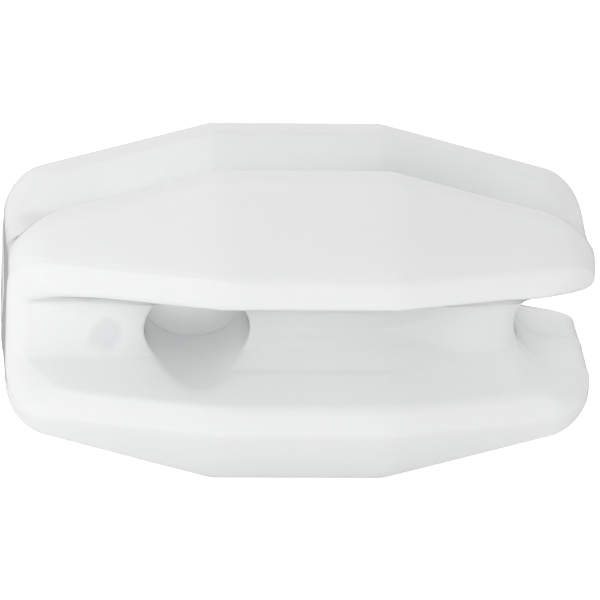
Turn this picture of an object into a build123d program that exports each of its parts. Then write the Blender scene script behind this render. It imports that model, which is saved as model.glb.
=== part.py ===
from build123d import *
import math
import os

# Egg-pattern strain insulator for electric fence wire or rope, one solid plastic moulding.
#
# Four lengthwise wings stand crosswise around the axis and leave four grooves between
# them. Two eyes cross the body at right angles, one on each side of the middle. A wire
# loop passes through one eye, lies in the two grooves beside it and leaves at the far end,
# so the two loops squeeze the plastic between the eyes and it can't let go if it breaks.
# The +X end has a slot between its two grooves for the loop that leaves there.
#
# Frame: X runs along the body, +Z is up and the origin is the middle of the body. It
# rests on its two lower wings, so the wings lie on the diagonals of YZ and the grooves
# face front (-Y), back, up and down.

# Driving dimensions, in millimetres and degrees
length = 80.0
flat_length = 23.6  # parallel stretch in the middle
reach_middle = 23.3  # from the axis to the crest of a wing
reach_end = 17.9
bend_radius = 12.0  # where a taper begins
tip_radius = 6.5  # corner of a wing at the end face
edge_radius = 2.7  # along the crests and around the end faces

floor_reach = 10.9  # from the axis to the floor of a groove
floor_width = 6.4
floor_radius = 1.3  # along both sides of a floor
mouth_width = 17.7  # of a groove, from crest to crest, before the crests are rounded

eye_offset = 14.2  # from the middle of the body to the middle of an eye
eye_length = 14.1  # along the body
eye_height = 11.0
mouth_radius = 0.9  # where an eye opens into a groove

slot_depth = 10.7  # from the end face to the floor of the slot, which is half an eye
lip_radius = 2.2  # around the slot, in the grooves and at the end face

core_draft = 1.5  # eyes and slot widen outwards from the middle of the body

# A groove's sections stand at these shares of the way from the middle to the bend, and
# from the bend to the end, the last one clear of the end face
flat_shares = (0, 0.3, 0.6)
taper_shares = (0.2, 0.5, 0.8, 1.1)
# Its walls run on past the crests by this share of their height
wall_excess = 0.6

# Two faces that meet at less than this angle make a seam and not an edge
seam_angle = 20.0
# A profile pushed this far each way leaves the body on both sides
through = 2 * reach_middle

half_length = length / 2
half_flat = flat_length / 2
taper_length = half_length - half_flat

# The crests face along the diagonals of YZ, so these planes hold X and one diagonal each
falling_back = Plane(origin=(0, 0, 0), x_dir=(1, 0, 0), z_dir=(0, -1, -1))
rising_back = Plane(origin=(0, 0, 0), x_dir=(1, 0, 0), z_dir=(0, -1, 1))

# The second eye is the first one turned a quarter about X
upright = (90, 0, 0)


def barrel_outline():
    """Outline along the body, parallel in the middle and tapered towards both ends."""
    with BuildSketch() as outline:
        with BuildLine():
            upper = Polyline(
                (-half_length, reach_end),
                (-half_flat, reach_middle),
                (half_flat, reach_middle),
                (half_length, reach_end),
            )
            lower = mirror(upper, about=Plane.XZ)
            Line(upper @ 0, lower @ 0)
            Line(upper @ 1, lower @ 1)
        make_face()
        bends = outline.vertices().group_by(lambda vertex: abs(vertex.X))[0]
        fillet(bends, bend_radius)
        tips = outline.vertices().group_by(lambda vertex: abs(vertex.X))[-1]
        fillet(tips, tip_radius)
    return outline.sketch


def groove_core():
    """What the front groove leaves open: its walls flare less where the body is thicker."""
    side = [share * half_flat for share in flat_shares]
    side += [half_flat + share * taper_length for share in taper_shares]
    with BuildPart() as core:
        for x in sorted({sign * x for sign in (-1, 1) for x in side}):
            tapered = max(0, (abs(x) - half_flat) / taper_length)
            reach = reach_middle + tapered * (reach_end - reach_middle)
            mouth_reach = reach * math.sqrt(2) - mouth_width / 2
            wall_end_reach = mouth_reach + wall_excess * (mouth_reach - floor_reach)
            wall_end = (mouth_width + wall_excess * (mouth_width - floor_width)) / 2
            with BuildSketch(Plane.YZ.offset(x)):
                with BuildLine():
                    half = Polyline(
                        (-floor_reach, 0),
                        (-floor_reach, floor_width / 2),
                        (-wall_end_reach, wall_end),
                        (-through, wall_end),
                        (-through, 0),
                    )
                    mirror(half, about=Plane.XZ)
                make_face()
        loft()
    return core.part


def eye_core():
    """What an eye leaves open, along Y: an oval that widens both ways."""
    growth = 2 * through * math.tan(math.radians(core_draft))
    with BuildPart() as core:
        for offset, extra in ((0, 0), (through, growth)):
            with BuildSketch(Plane.XZ.offset(offset)):
                Ellipse((eye_length + extra) / 2, (eye_height + extra) / 2)
        loft()
        mirror(about=Plane.XZ)
    return core.part


def slot_core():
    """What the slot at the +X end leaves open, along Y: half an eye, open to the end."""
    growth = 2 * through * math.tan(math.radians(core_draft))
    centre = half_length - slot_depth + eye_length / 2
    outside = half_length + slot_depth
    with BuildPart() as core:
        for offset, extra in ((0, 0), (through, growth)):
            half_width, half_height = (eye_length + extra) / 2, (eye_height + extra) / 2
            with BuildSketch(Plane.XZ.offset(offset)):
                with BuildLine():
                    floor = EllipticalCenterArc(
                        (centre, 0), half_width, half_height, start_angle=90, arc_size=180
                    )
                    Polyline(
                        floor @ 1, (outside, -half_height), (outside, half_height), floor @ 0
                    )
                make_face()
        loft()
        mirror(about=Plane.XZ)
    return core.part


def real_edges(part):
    """Edges where two faces meet at an angle, without the seams of smooth joins."""
    normals = {}
    for face in part.faces():
        for edge in face.edges():
            normals.setdefault(edge, []).append(face.normal_at(edge @ 0.5))
    return [
        edge
        for edge, sides in normals.items()
        if len(sides) == 2 and sides[0].get_angle(sides[1]) > seam_angle
    ]


def floor_edges(part):
    """The inner edges along the body, where a groove's floor meets its walls."""
    return [
        edge
        for edge in real_edges(part)
        if max(abs((edge @ 0.5).Y), abs((edge @ 0.5).Z)) < floor_reach + 0.01
        and abs((edge % 0.5).X) > 0.5
    ]


with BuildPart() as insulator_body:
    # A square barrel with its faces on the diagonals
    for plane, mode in ((falling_back, Mode.ADD), (rising_back, Mode.INTERSECT)):
        with BuildSketch(plane):
            add(barrel_outline())
        extrude(amount=through, both=True, mode=mode)

    # Four grooves, with rounded floors and then every outer edge rounded
    groove = groove_core()
    for quarter in range(4):
        add(groove, rotation=(90 * quarter, 0, 0), mode=Mode.SUBTRACT)
    fillet(floor_edges(insulator_body.part), floor_radius)
    fillet(real_edges(insulator_body.part), edge_radius)

    # A slot through the +X end, in line with the eye of the far half
    add(slot_core(), mode=Mode.SUBTRACT)
    fillet(real_edges(insulator_body.part), lip_radius)

    # The two crossed eyes
    eye = eye_core()
    with Locations((-eye_offset, 0, 0)):
        add(eye, mode=Mode.SUBTRACT)
    with Locations((eye_offset, 0, 0)):
        add(eye, rotation=upright, mode=Mode.SUBTRACT)
    fillet(real_edges(insulator_body.part), mouth_radius)

insulator_body.part.label = "insulator_body"

os.makedirs("parts", exist_ok=True)
export_step(insulator_body.part, "parts/insulator_body.step")

print("insulator_body", round(insulator_body.part.volume, 1), "mm3")
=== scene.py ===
import math

import bpy
import numpy as np
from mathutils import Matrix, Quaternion, Vector


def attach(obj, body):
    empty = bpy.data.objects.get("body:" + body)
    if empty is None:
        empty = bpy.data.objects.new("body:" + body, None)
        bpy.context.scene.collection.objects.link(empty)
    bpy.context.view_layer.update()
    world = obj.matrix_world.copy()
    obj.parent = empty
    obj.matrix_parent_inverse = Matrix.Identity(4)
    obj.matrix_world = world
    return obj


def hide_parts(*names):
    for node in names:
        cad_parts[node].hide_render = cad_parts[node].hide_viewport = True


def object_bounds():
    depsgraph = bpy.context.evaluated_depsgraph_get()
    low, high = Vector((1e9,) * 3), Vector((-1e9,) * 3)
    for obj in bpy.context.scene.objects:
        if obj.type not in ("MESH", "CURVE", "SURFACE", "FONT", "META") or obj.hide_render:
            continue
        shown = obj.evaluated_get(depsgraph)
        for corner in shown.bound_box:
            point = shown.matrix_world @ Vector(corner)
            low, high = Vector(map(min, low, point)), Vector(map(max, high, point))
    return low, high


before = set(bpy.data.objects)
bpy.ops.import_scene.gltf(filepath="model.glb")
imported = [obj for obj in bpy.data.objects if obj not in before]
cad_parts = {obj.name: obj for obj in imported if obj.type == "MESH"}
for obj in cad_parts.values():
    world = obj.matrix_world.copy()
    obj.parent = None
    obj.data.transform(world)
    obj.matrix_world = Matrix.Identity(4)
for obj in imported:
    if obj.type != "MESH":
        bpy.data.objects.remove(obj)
cad_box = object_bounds()

# The shape of the moulding is described in millimetres, as in the CAD model, whose crests
# face along the diagonals of YZ and whose grooves face front, back, up and down. A reach
# is a distance from the axis, along a diagonal for a crest and along Y or Z for the rest.
MM = 0.001
SQRT2 = math.sqrt(2)

# Barrel
HALF_LENGTH = cad_box[1][0] / MM
HALF_FLAT = 11.8
REACH_MIDDLE = 23.4
REACH_END = 17.9
TAPER_SLOPE = (REACH_MIDDLE - REACH_END) / (HALF_LENGTH - HALF_FLAT)

# Grooves: the walls flare more up to a shoulder and less from there to the mouth, which is
# where they would meet the crests. Widths are those in the middle of the body, and the
# shoulders stand wider apart towards the ends.
MOUTH_HALF_WIDTH = 8.35
FLOOR_REACH = 10.9
FLOOR_HALF_WIDTH = 2.6
SHOULDER_REACH = 13.5
SHOULDER_HALF_WIDTH = 4.3
SHOULDER_BLEND = 1.5
INNER_SLOPE = (SHOULDER_HALF_WIDTH - FLOOR_HALF_WIDTH) / (SHOULDER_REACH - FLOOR_REACH)
WALL_SLOPE = math.tan(math.radians(19.8))
WIDENING_END = 27.0

# Bevels, between the crests and the grooves, which face as the grooves do
BEVEL_DEPTH = 2.93
BEVEL_REACH = REACH_MIDDLE * SQRT2 - MOUTH_HALF_WIDTH - BEVEL_DEPTH
BEVEL_SLOPE = TAPER_SLOPE * SQRT2

# Eyes and slot
EYE_OFFSET = 14.2
EYE_HALF_LENGTH = 7.05
EYE_HALF_HEIGHT = 5.3
SIDE_DRAFT = math.tan(math.radians(0.5))
FLARE = math.tan(math.radians(2.5))
SLOT_FLOOR = HALF_LENGTH - 10.7
RAMP_START = 24.2
RAMP_SLOPE = math.tan(math.radians(13.5))
RAMP_BLEND = 1.0

# Roundings: the distance from an edge at which the two surfaces begin to bend
BEND_ROUNDING = 0.25
TIP_ROUNDING = 5.3
BEVEL_ROUNDING = 0.6
END_ROUNDING = 2.6
WING_END_ROUNDING = 4.4
FLOOR_ROUNDING = 0.7
LIP_ROUNDING = 2.4
MOUTH_ROUNDING = 0.45

# Where the edges of the grooves get rounder, before the end faces and out along the wings
END_ZONE = 8.0
END_ZONE_LENGTH = 7.0
WING_ZONE = 9.5
WING_ZONE_LENGTH = 5.0

# Marks that the mould leaves
SLIDE_PROUD = 0.22
SLIDE_ROUNDING = 1.0
SLIDE_CREASE = 0.25
RING_HEIGHT = 0.2
RING_WIDTH = 0.3
SINK_PLACE = (-26.5, -0.9)
SINK_DEPTH = 0.22
SINK_SIZE = 1.5

# Mesh: the step of the grid that finds the surface, how far it stands out around the body,
# in how many slabs it is worked out to save memory, and how many triangles are kept
GRID = 0.3
GRID_MARGIN = 2.0
GRID_SLABS = 16
TRIANGLES = 190000
# The step that slopes are measured over, and the least values to divide by
NUDGE = 0.02
FLATTEST = 0.05
TINY = 1e-6

# Plastic: satin white polyethylene. The coat doesn't reflect, and its tint dims the plastic
# where it is seen edge on, as painted shade along the edges that turn away.
PLASTIC = {
    "Roughness": 0.42,
    "Coat Weight": 0.8,
    "Coat IOR": 1.0,
    "Coat Roughness": 0.4,
    "Coat Tint": (0.955, 0.955, 0.955, 1),
    "Subsurface Weight": 0.6,
    "Subsurface Radius": (1.0, 1.0, 1.0),
    "Subsurface Scale": 0.015,
}
TONES = ((0.905, 0.915, 0.92, 1), (0.93, 0.94, 0.945, 1))
# Painted shade in the dimple of the sink mark
SINK_PAINTED_SHADE = (0.84, 0.85, 0.855, 1)

# Sizes of its noises, from coarse to fine, as scale and detail
CLOUDS = (90, 3)
RAGGED = (350, 2)
GRAIN = (1400, 2)
GRAIN_STRENGTH = 0.12
GRAIN_DEPTH = 0.00006
# How ragged the painted shade in the sink mark is, and how far it reaches in full and at its
# rim, in metres
SINK_SHADE_RAGGED = 0.0025
SINK_SHADE_CORE = 0.0018
SINK_SHADE_RIM = 0.0027

# Camera and key light, in metres and degrees, and the key's power in watts
CAMERA_AZIMUTH = -5.0
CAMERA_ELEVATION = 21.5
CAMERA_ROLL = 2.1
CAMERA_DISTANCE = 1.0
CAMERA_CLIP_END = 10.0
FIELD_WIDTH = 0.0821
AIM = (0.0006, 0.0, 0.0)
KEY_AZIMUTH = -24
KEY_ELEVATION = 28
KEY_DISTANCE = 0.9
KEY_SIZE = 0.6
KEY_POWER = 3.3

# Strength of the world's light from in front and from behind
WORLD_FRONT = 0.08
WORLD_BACK = 1.25

# Floor: it glows a little on the object, and more for the camera alone
FLOOR_HALF_SIZE = 3.0
FLOOR = {
    "Base Color": (0.9, 0.9, 0.9, 1),
    "Roughness": 0.9,
    "Specular IOR Level": 0.0,
    "Emission Color": (1, 1, 1, 1),
}
FLOOR_GLOW = 0.25
FLOOR_WHITENING = 0.35


def rounded_max(a, b, rounding):
    """The larger of two fields, with a round corner in place of a sharp one."""
    a, b = a + rounding, b + rounding
    corner = np.hypot(np.maximum(a, 0), np.maximum(b, 0))
    return np.minimum(np.maximum(a, b), 0) + corner - rounding


def soft_ramp(u, blend):
    """Zero below zero and u above it, with a soft change from one to the other."""
    return (u + np.sqrt(u * u + blend * blend)) / 2


def soft_step(u):
    """Zero below zero, one above one and smooth between."""
    u = np.clip(u, 0, 1)
    return u * u * (3 - 2 * u)


def crest_reach(x):
    """How far from the axis the crests lie."""
    return REACH_MIDDLE - TAPER_SLOPE * np.maximum(np.abs(x) - HALF_FLAT, 0)


def mouth_reach(x):
    """How far from the axis the grooves have their mouths."""
    return crest_reach(x) * SQRT2 - MOUTH_HALF_WIDTH


def barrel_side(x, away, reach, slope):
    """A pair of sides: flat in the middle, tapered, and round at the tips."""
    flat = away - reach
    taper = (flat + slope * (np.abs(x) - HALF_FLAT)) * math.cos(math.atan(slope))
    end = np.abs(x) - HALF_LENGTH
    return rounded_max(rounded_max(flat, taper, BEND_ROUNDING), end, TIP_ROUNDING)


def groove(x, away, across, ramp_slope):
    """Negative in the space of a groove, whose floor may slope down towards the slot."""
    floor_reach = FLOOR_REACH - ramp_slope * soft_ramp(x - RAMP_START, RAMP_BLEND)
    widening = np.minimum(np.abs(x), WIDENING_END)
    shoulder = MOUTH_HALF_WIDTH - WALL_SLOPE * (mouth_reach(widening) - SHOULDER_REACH)
    outer_slope = (MOUTH_HALF_WIDTH - shoulder) / (mouth_reach(x) - SHOULDER_REACH)
    change = outer_slope - INNER_SLOPE
    u = away - SHOULDER_REACH
    width = shoulder + INNER_SLOPE * u + change * soft_ramp(u, SHOULDER_BLEND)
    share = (1 + u / np.sqrt(u * u + SHOULDER_BLEND ** 2)) / 2
    slope = INNER_SLOPE + change * share
    wall = (across - width) / np.sqrt(1 + slope * slope)
    return rounded_max(floor_reach - away, wall, FLOOR_ROUNDING)


def oval(along, across, depth):
    """Negative in an eye, which widens from its middle, most of all across the body."""
    a = EYE_HALF_LENGTH + depth * SIDE_DRAFT
    b = EYE_HALF_HEIGHT + depth * FLARE
    near = np.hypot(along / a, across / b)
    steep = np.hypot(along / a ** 2, across / b ** 2)
    ring = RING_HEIGHT * np.exp(-(depth / RING_WIDTH) ** 2)
    return near * (near - 1) / np.maximum(steep, TINY) + ring


def body_field(x, y, z):
    """Negative inside the moulding, positive outside and close to the distance from it."""
    away_y, away_z = np.abs(y), np.abs(z)
    reach_a, reach_b = np.abs(z + y) / SQRT2, np.abs(z - y) / SQRT2
    crests = [barrel_side(x, reach, REACH_MIDDLE, TAPER_SLOPE) for reach in (reach_a, reach_b)]
    bevels = [barrel_side(x, away, BEVEL_REACH, BEVEL_SLOPE) for away in (away_y, away_z)]
    solid = rounded_max(np.maximum(*crests), np.maximum(*bevels), BEVEL_ROUNDING)

    # The front and back grooves slope down to the slot. Their edges are rounder near the
    # ends, and roundest at the tips of the wings.
    near_end = soft_step((np.abs(x) - HALF_LENGTH + END_ZONE) / END_ZONE_LENGTH)
    outer = soft_step((np.maximum(reach_a, reach_b) - WING_ZONE) / WING_ZONE_LENGTH)
    end_rounding = END_ROUNDING + (WING_END_ROUNDING - END_ROUNDING) * outer
    rounding = BEVEL_ROUNDING + (end_rounding - BEVEL_ROUNDING) * near_end
    solid = rounded_max(solid, -groove(x, away_y, away_z, RAMP_SLOPE), rounding)
    solid = rounded_max(solid, -groove(x, away_z, away_y, 0), rounding)

    # The front and back slides of the mould stand a little proud along the crests
    sideways = (away_y - away_z) / SQRT2
    crest_edge = crest_reach(x) - (MOUTH_HALF_WIDTH + BEVEL_DEPTH) * SQRT2
    slide_edge = crest_edge - BEVEL_ROUNDING
    slide = rounded_max(solid - SLIDE_PROUD, slide_edge - sideways, SLIDE_ROUNDING)
    solid = -rounded_max(-solid, -slide, SLIDE_CREASE)

    # A shallow sink mark in the floor of the front groove
    from_mark = ((x - SINK_PLACE[0]) ** 2 + (z - SINK_PLACE[1]) ** 2) / (2 * SINK_SIZE ** 2)
    solid = solid + np.where(y < 0, SINK_DEPTH * np.exp(-from_mark), 0)

    slot = oval(np.minimum(x - SLOT_FLOOR - EYE_HALF_LENGTH, 0), z, away_y)
    solid = rounded_max(solid, -slot, LIP_ROUNDING)
    for eye in (oval(x + EYE_OFFSET, z, away_y), oval(x - EYE_OFFSET, y, away_z)):
        solid = rounded_max(solid, -eye, MOUTH_ROUNDING)
    return solid


def surface_net(field, low, high, step):
    """Vertices and quads of the surface where the field is zero, one vertex a cell."""
    axes = [np.arange(a, b + step, step, dtype=np.float32) for a, b in zip(low, high)]
    slabs = [field(*np.meshgrid(part, *axes[1:], indexing="ij"))
             for part in np.array_split(axes[0], GRID_SLABS)]
    values = np.concatenate(slabs)
    inside = values < 0

    corners = [(i, j, k) for i in (0, 1) for j in (0, 1) for k in (0, 1)]
    size = [n - 1 for n in inside.shape]
    count = np.zeros(size, dtype=np.int8)
    for i, j, k in corners:
        count += inside[i:i + size[0], j:j + size[1], k:k + size[2]]
    active = (count > 0) & (count < len(corners))
    cells = np.argwhere(active)
    number = np.full(size, -1, dtype=np.int64)
    number[active] = np.arange(len(cells))

    # A cell's vertex is the middle of the points where its edges cross the surface
    place = np.zeros((len(cells), 3))
    crossings = np.zeros(len(cells))
    for first in corners:
        for axis in range(3):
            if first[axis]:
                continue
            second = tuple(1 if n == axis else first[n] for n in range(3))
            a = values[tuple((cells + first).T)]
            b = values[tuple((cells + second).T)]
            crossed = (a < 0) != (b < 0)
            share = np.where(crossed, a / np.where(crossed, a - b, 1), 0)
            place += crossed[:, None] * np.array(first)
            place[:, axis] += crossed * share
            crossings += crossed
    places = np.array(low) + step * (cells + place / crossings[:, None])

    # A quad joins the four cells around each edge of the grid that crosses the surface
    quads = []
    for axis in range(3):
        u, v = (axis + 1) % 3, (axis + 2) % 3
        here = [slice(1, n) for n in size]
        here[axis] = slice(0, size[axis])
        there = list(here)
        there[axis] = slice(1, size[axis] + 1)
        a, b = inside[tuple(here)], inside[tuple(there)]
        edges = np.argwhere(a != b) + [s.start for s in here]
        leaving = inside[tuple(edges.T)]
        around = []
        for du, dv in ((-1, -1), (0, -1), (0, 0), (-1, 0)):
            cell = edges.copy()
            cell[:, u] += du
            cell[:, v] += dv
            around.append(number[tuple(cell.T)])
        quad = np.stack(around, axis=1)
        quad[~leaving] = quad[~leaving][:, ::-1]
        quads.append(quad)
    return places, np.concatenate(quads)


def gradient(field, points):
    """How the field rises at each point."""
    steps = np.eye(3) * NUDGE
    rises = [field(*(points + s).T) - field(*(points - s).T) for s in steps]
    return np.stack(rises, axis=1) / (2 * NUDGE)


def settle(field, points, rounds):
    """Move points along the gradient onto the surface."""
    for _ in range(rounds):
        slope = gradient(field, points)
        square = np.maximum((slope * slope).sum(axis=1), FLATTEST)
        move = np.clip(field(*points.T), -GRID, GRID) / square
        points = points - move[:, None] * slope
    return points


def mesh_from(name, points, quads):
    """A mesh in metres from points in millimetres."""
    mesh = bpy.data.meshes.new(name)
    mesh.vertices.add(len(points))
    mesh.vertices.foreach_set("co", (points * MM).ravel())
    mesh.loops.add(quads.size)
    mesh.loops.foreach_set("vertex_index", quads.ravel())
    mesh.polygons.add(len(quads))
    mesh.polygons.foreach_set("loop_start", np.arange(len(quads)) * quads.shape[1])
    mesh.update(calc_edges=True)
    return mesh


def add_object(name, data):
    """A new object in the scene."""
    made = bpy.data.objects.new(name, data)
    bpy.context.scene.collection.objects.link(made)
    return made


def moulding(material):
    """The body as one mesh, with its triangles where the surface bends."""
    margins = (-GRID_MARGIN, GRID_MARGIN)
    low, high = ([c / MM + side for c in corner] for corner, side in zip(cad_box, margins))
    points, quads = surface_net(body_field, low, high, GRID)
    points = settle(body_field, points, rounds=3)
    body = add_object("moulded_body", mesh_from("moulded_body", points, quads))

    ratio = TRIANGLES / (2 * len(quads))
    if ratio < 1:
        thinner = body.modifiers.new("thinner", "DECIMATE")
        thinner.ratio = ratio
        graph = bpy.context.evaluated_depsgraph_get()
        thinned = bpy.data.meshes.new_from_object(body.evaluated_get(graph))
        body.modifiers.remove(thinner)
        body.data = thinned

    mesh = body.data
    places = np.empty(len(mesh.vertices) * 3)
    mesh.vertices.foreach_get("co", places)
    places = settle(body_field, places.reshape(-1, 3) / MM, rounds=1)
    mesh.vertices.foreach_set("co", (places * MM).ravel())
    mesh.polygons.foreach_set("use_smooth", np.ones(len(mesh.polygons), dtype=bool))
    normals = gradient(body_field, places)
    normals /= np.linalg.norm(normals, axis=1)[:, None]
    mesh.normals_split_custom_set_from_vertices(normals)
    mesh.materials.append(material)
    return body


def fill(tree, node, inputs):
    """Set a node's inputs: a socket is linked, and a number or colour is put in."""
    for name, value in inputs.items():
        if isinstance(value, bpy.types.NodeSocket):
            tree.links.new(value, node.inputs[name])
        else:
            node.inputs[name].default_value = value


def add_node(tree, kind, inputs, **settings):
    """Outputs of a new node."""
    node = tree.nodes.new("ShaderNode" + kind)
    for name, value in settings.items():
        setattr(node, name, value)
    fill(tree, node, inputs)
    return node.outputs


def noise(tree, place, size):
    """Outputs of a noise texture of a given scale and detail."""
    scale, detail = size
    return add_node(tree, "TexNoise", {"Vector": place, "Scale": scale, "Detail": detail})


def new_material(name):
    """A material with its node tree and its shader."""
    material = bpy.data.materials.new(name)
    material.use_nodes = True
    return material, material.node_tree, material.node_tree.nodes["Principled BSDF"]


def plastic():
    """Satin white polyethylene, a little uneven in tone and with a fine grain, with painted
    shade in its sink mark and where it is seen edge on.
    """
    material, tree, shader = new_material("white_plastic")
    place = add_node(tree, "TexCoord", {})["Object"]
    clouds = noise(tree, place, CLOUDS)["Fac"]
    tone = add_node(tree, "Mix", {"Factor": clouds, "A": TONES[0], "B": TONES[1]},
                    data_type="RGBA")["Result"]

    # Painted shade: the sink mark's dimple is made a little darker in colour, with a ragged
    # edge
    shift = noise(tree, place, RAGGED)["Color"]
    bent = add_node(tree, "VectorMath", {0: shift, 1: [SINK_SHADE_RAGGED] * 3, 2: place},
                    operation="MULTIPLY_ADD")["Vector"]
    middle = (SINK_PLACE[0] * MM, -FLOOR_REACH * MM, SINK_PLACE[1] * MM)
    middle = [side + SINK_SHADE_RAGGED / 2 for side in middle]
    distance = add_node(tree, "VectorMath", {0: bent, 1: middle}, operation="DISTANCE")
    painted_shade = add_node(tree, "MapRange", {
        "Value": distance["Value"], "From Min": SINK_SHADE_RIM, "From Max": SINK_SHADE_CORE})
    color = add_node(tree, "Mix", {"Factor": painted_shade["Result"], "A": tone, "B": SINK_PAINTED_SHADE},
                     data_type="RGBA")["Result"]

    grain = add_node(tree, "Bump", {
        "Strength": GRAIN_STRENGTH, "Distance": GRAIN_DEPTH,
        "Height": noise(tree, place, GRAIN)["Fac"]})
    fill(tree, shader, {**PLASTIC, "Base Color": color, "Normal": grain["Normal"]})
    return material


def towards(azimuth, elevation):
    """Direction from the object, with azimuth 0 at the front and elevation upwards."""
    a, e = math.radians(azimuth), math.radians(elevation)
    return Vector((math.sin(a) * math.cos(e), -math.cos(a) * math.cos(e), math.sin(e)))


def add_camera():
    """The camera, in front of the object and above it, a little to the left and tilted."""
    direction = towards(CAMERA_AZIMUTH, CAMERA_ELEVATION)
    data = bpy.data.cameras.new("camera")
    data.lens = data.sensor_width * CAMERA_DISTANCE / FIELD_WIDTH
    data.clip_end = CAMERA_CLIP_END
    camera = add_object("camera", data)
    camera.location = Vector(AIM) + direction * CAMERA_DISTANCE
    camera.rotation_mode = "QUATERNION"
    roll = Quaternion(direction, math.radians(CAMERA_ROLL))
    camera.rotation_quaternion = roll @ (-direction).to_track_quat("-Z", "Y")
    bpy.context.scene.camera = camera


def add_key():
    """A large soft light in front, on the upper left."""
    direction = towards(KEY_AZIMUTH, KEY_ELEVATION)
    data = bpy.data.lights.new("key", "AREA")
    data.shape = "DISK"
    data.size = KEY_SIZE
    data.energy = KEY_POWER
    light = add_object("key", data)
    light.location = direction * KEY_DISTANCE
    light.rotation_euler = (-direction).to_track_quat("-Z", "Y").to_euler()


def add_floor(z):
    """A white floor that the camera sees as white, apart from the object's shadow."""
    s = FLOOR_HALF_SIZE
    mesh = bpy.data.meshes.new("floor")
    mesh.from_pydata([(-s, -s, z), (s, -s, z), (s, s, z), (-s, s, z)], [], [(0, 1, 2, 3)])
    floor = add_object("floor", mesh)
    material, tree, shader = new_material("floor")
    seen = add_node(tree, "LightPath", {})["Is Camera Ray"]
    glow = add_node(tree, "Math", {0: seen, 1: FLOOR_WHITENING, 2: FLOOR_GLOW},
                    operation="MULTIPLY_ADD")["Value"]
    fill(tree, shader, {**FLOOR, "Emission Strength": glow})
    mesh.materials.append(material)


def add_world():
    """Soft light from all round, stronger from behind, that the camera sees as white."""
    world = bpy.data.worlds.new("world")
    world.use_nodes = True
    tree = world.node_tree
    view = add_node(tree, "TexCoord", {})["Generated"]
    backwards = add_node(tree, "SeparateXYZ", {"Vector": view})["Y"]
    half_change, mean = (WORLD_BACK - WORLD_FRONT) / 2, (WORLD_BACK + WORLD_FRONT) / 2
    light = add_node(tree, "Math", {0: backwards, 1: half_change, 2: mean},
                     operation="MULTIPLY_ADD")["Value"]
    seen = add_node(tree, "LightPath", {})["Is Camera Ray"]
    strength = add_node(tree, "Math", {0: light, 1: seen}, operation="MAXIMUM")["Value"]
    fill(tree, tree.nodes["Background"], {"Color": (1, 1, 1, 1), "Strength": strength})
    bpy.context.scene.world = world


bpy.context.scene.view_settings.view_transform = "Standard"
body = moulding(plastic())
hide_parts("insulator_body")
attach(body, "root")
add_camera()
add_floor(cad_box[0][2])
add_world()
add_key()
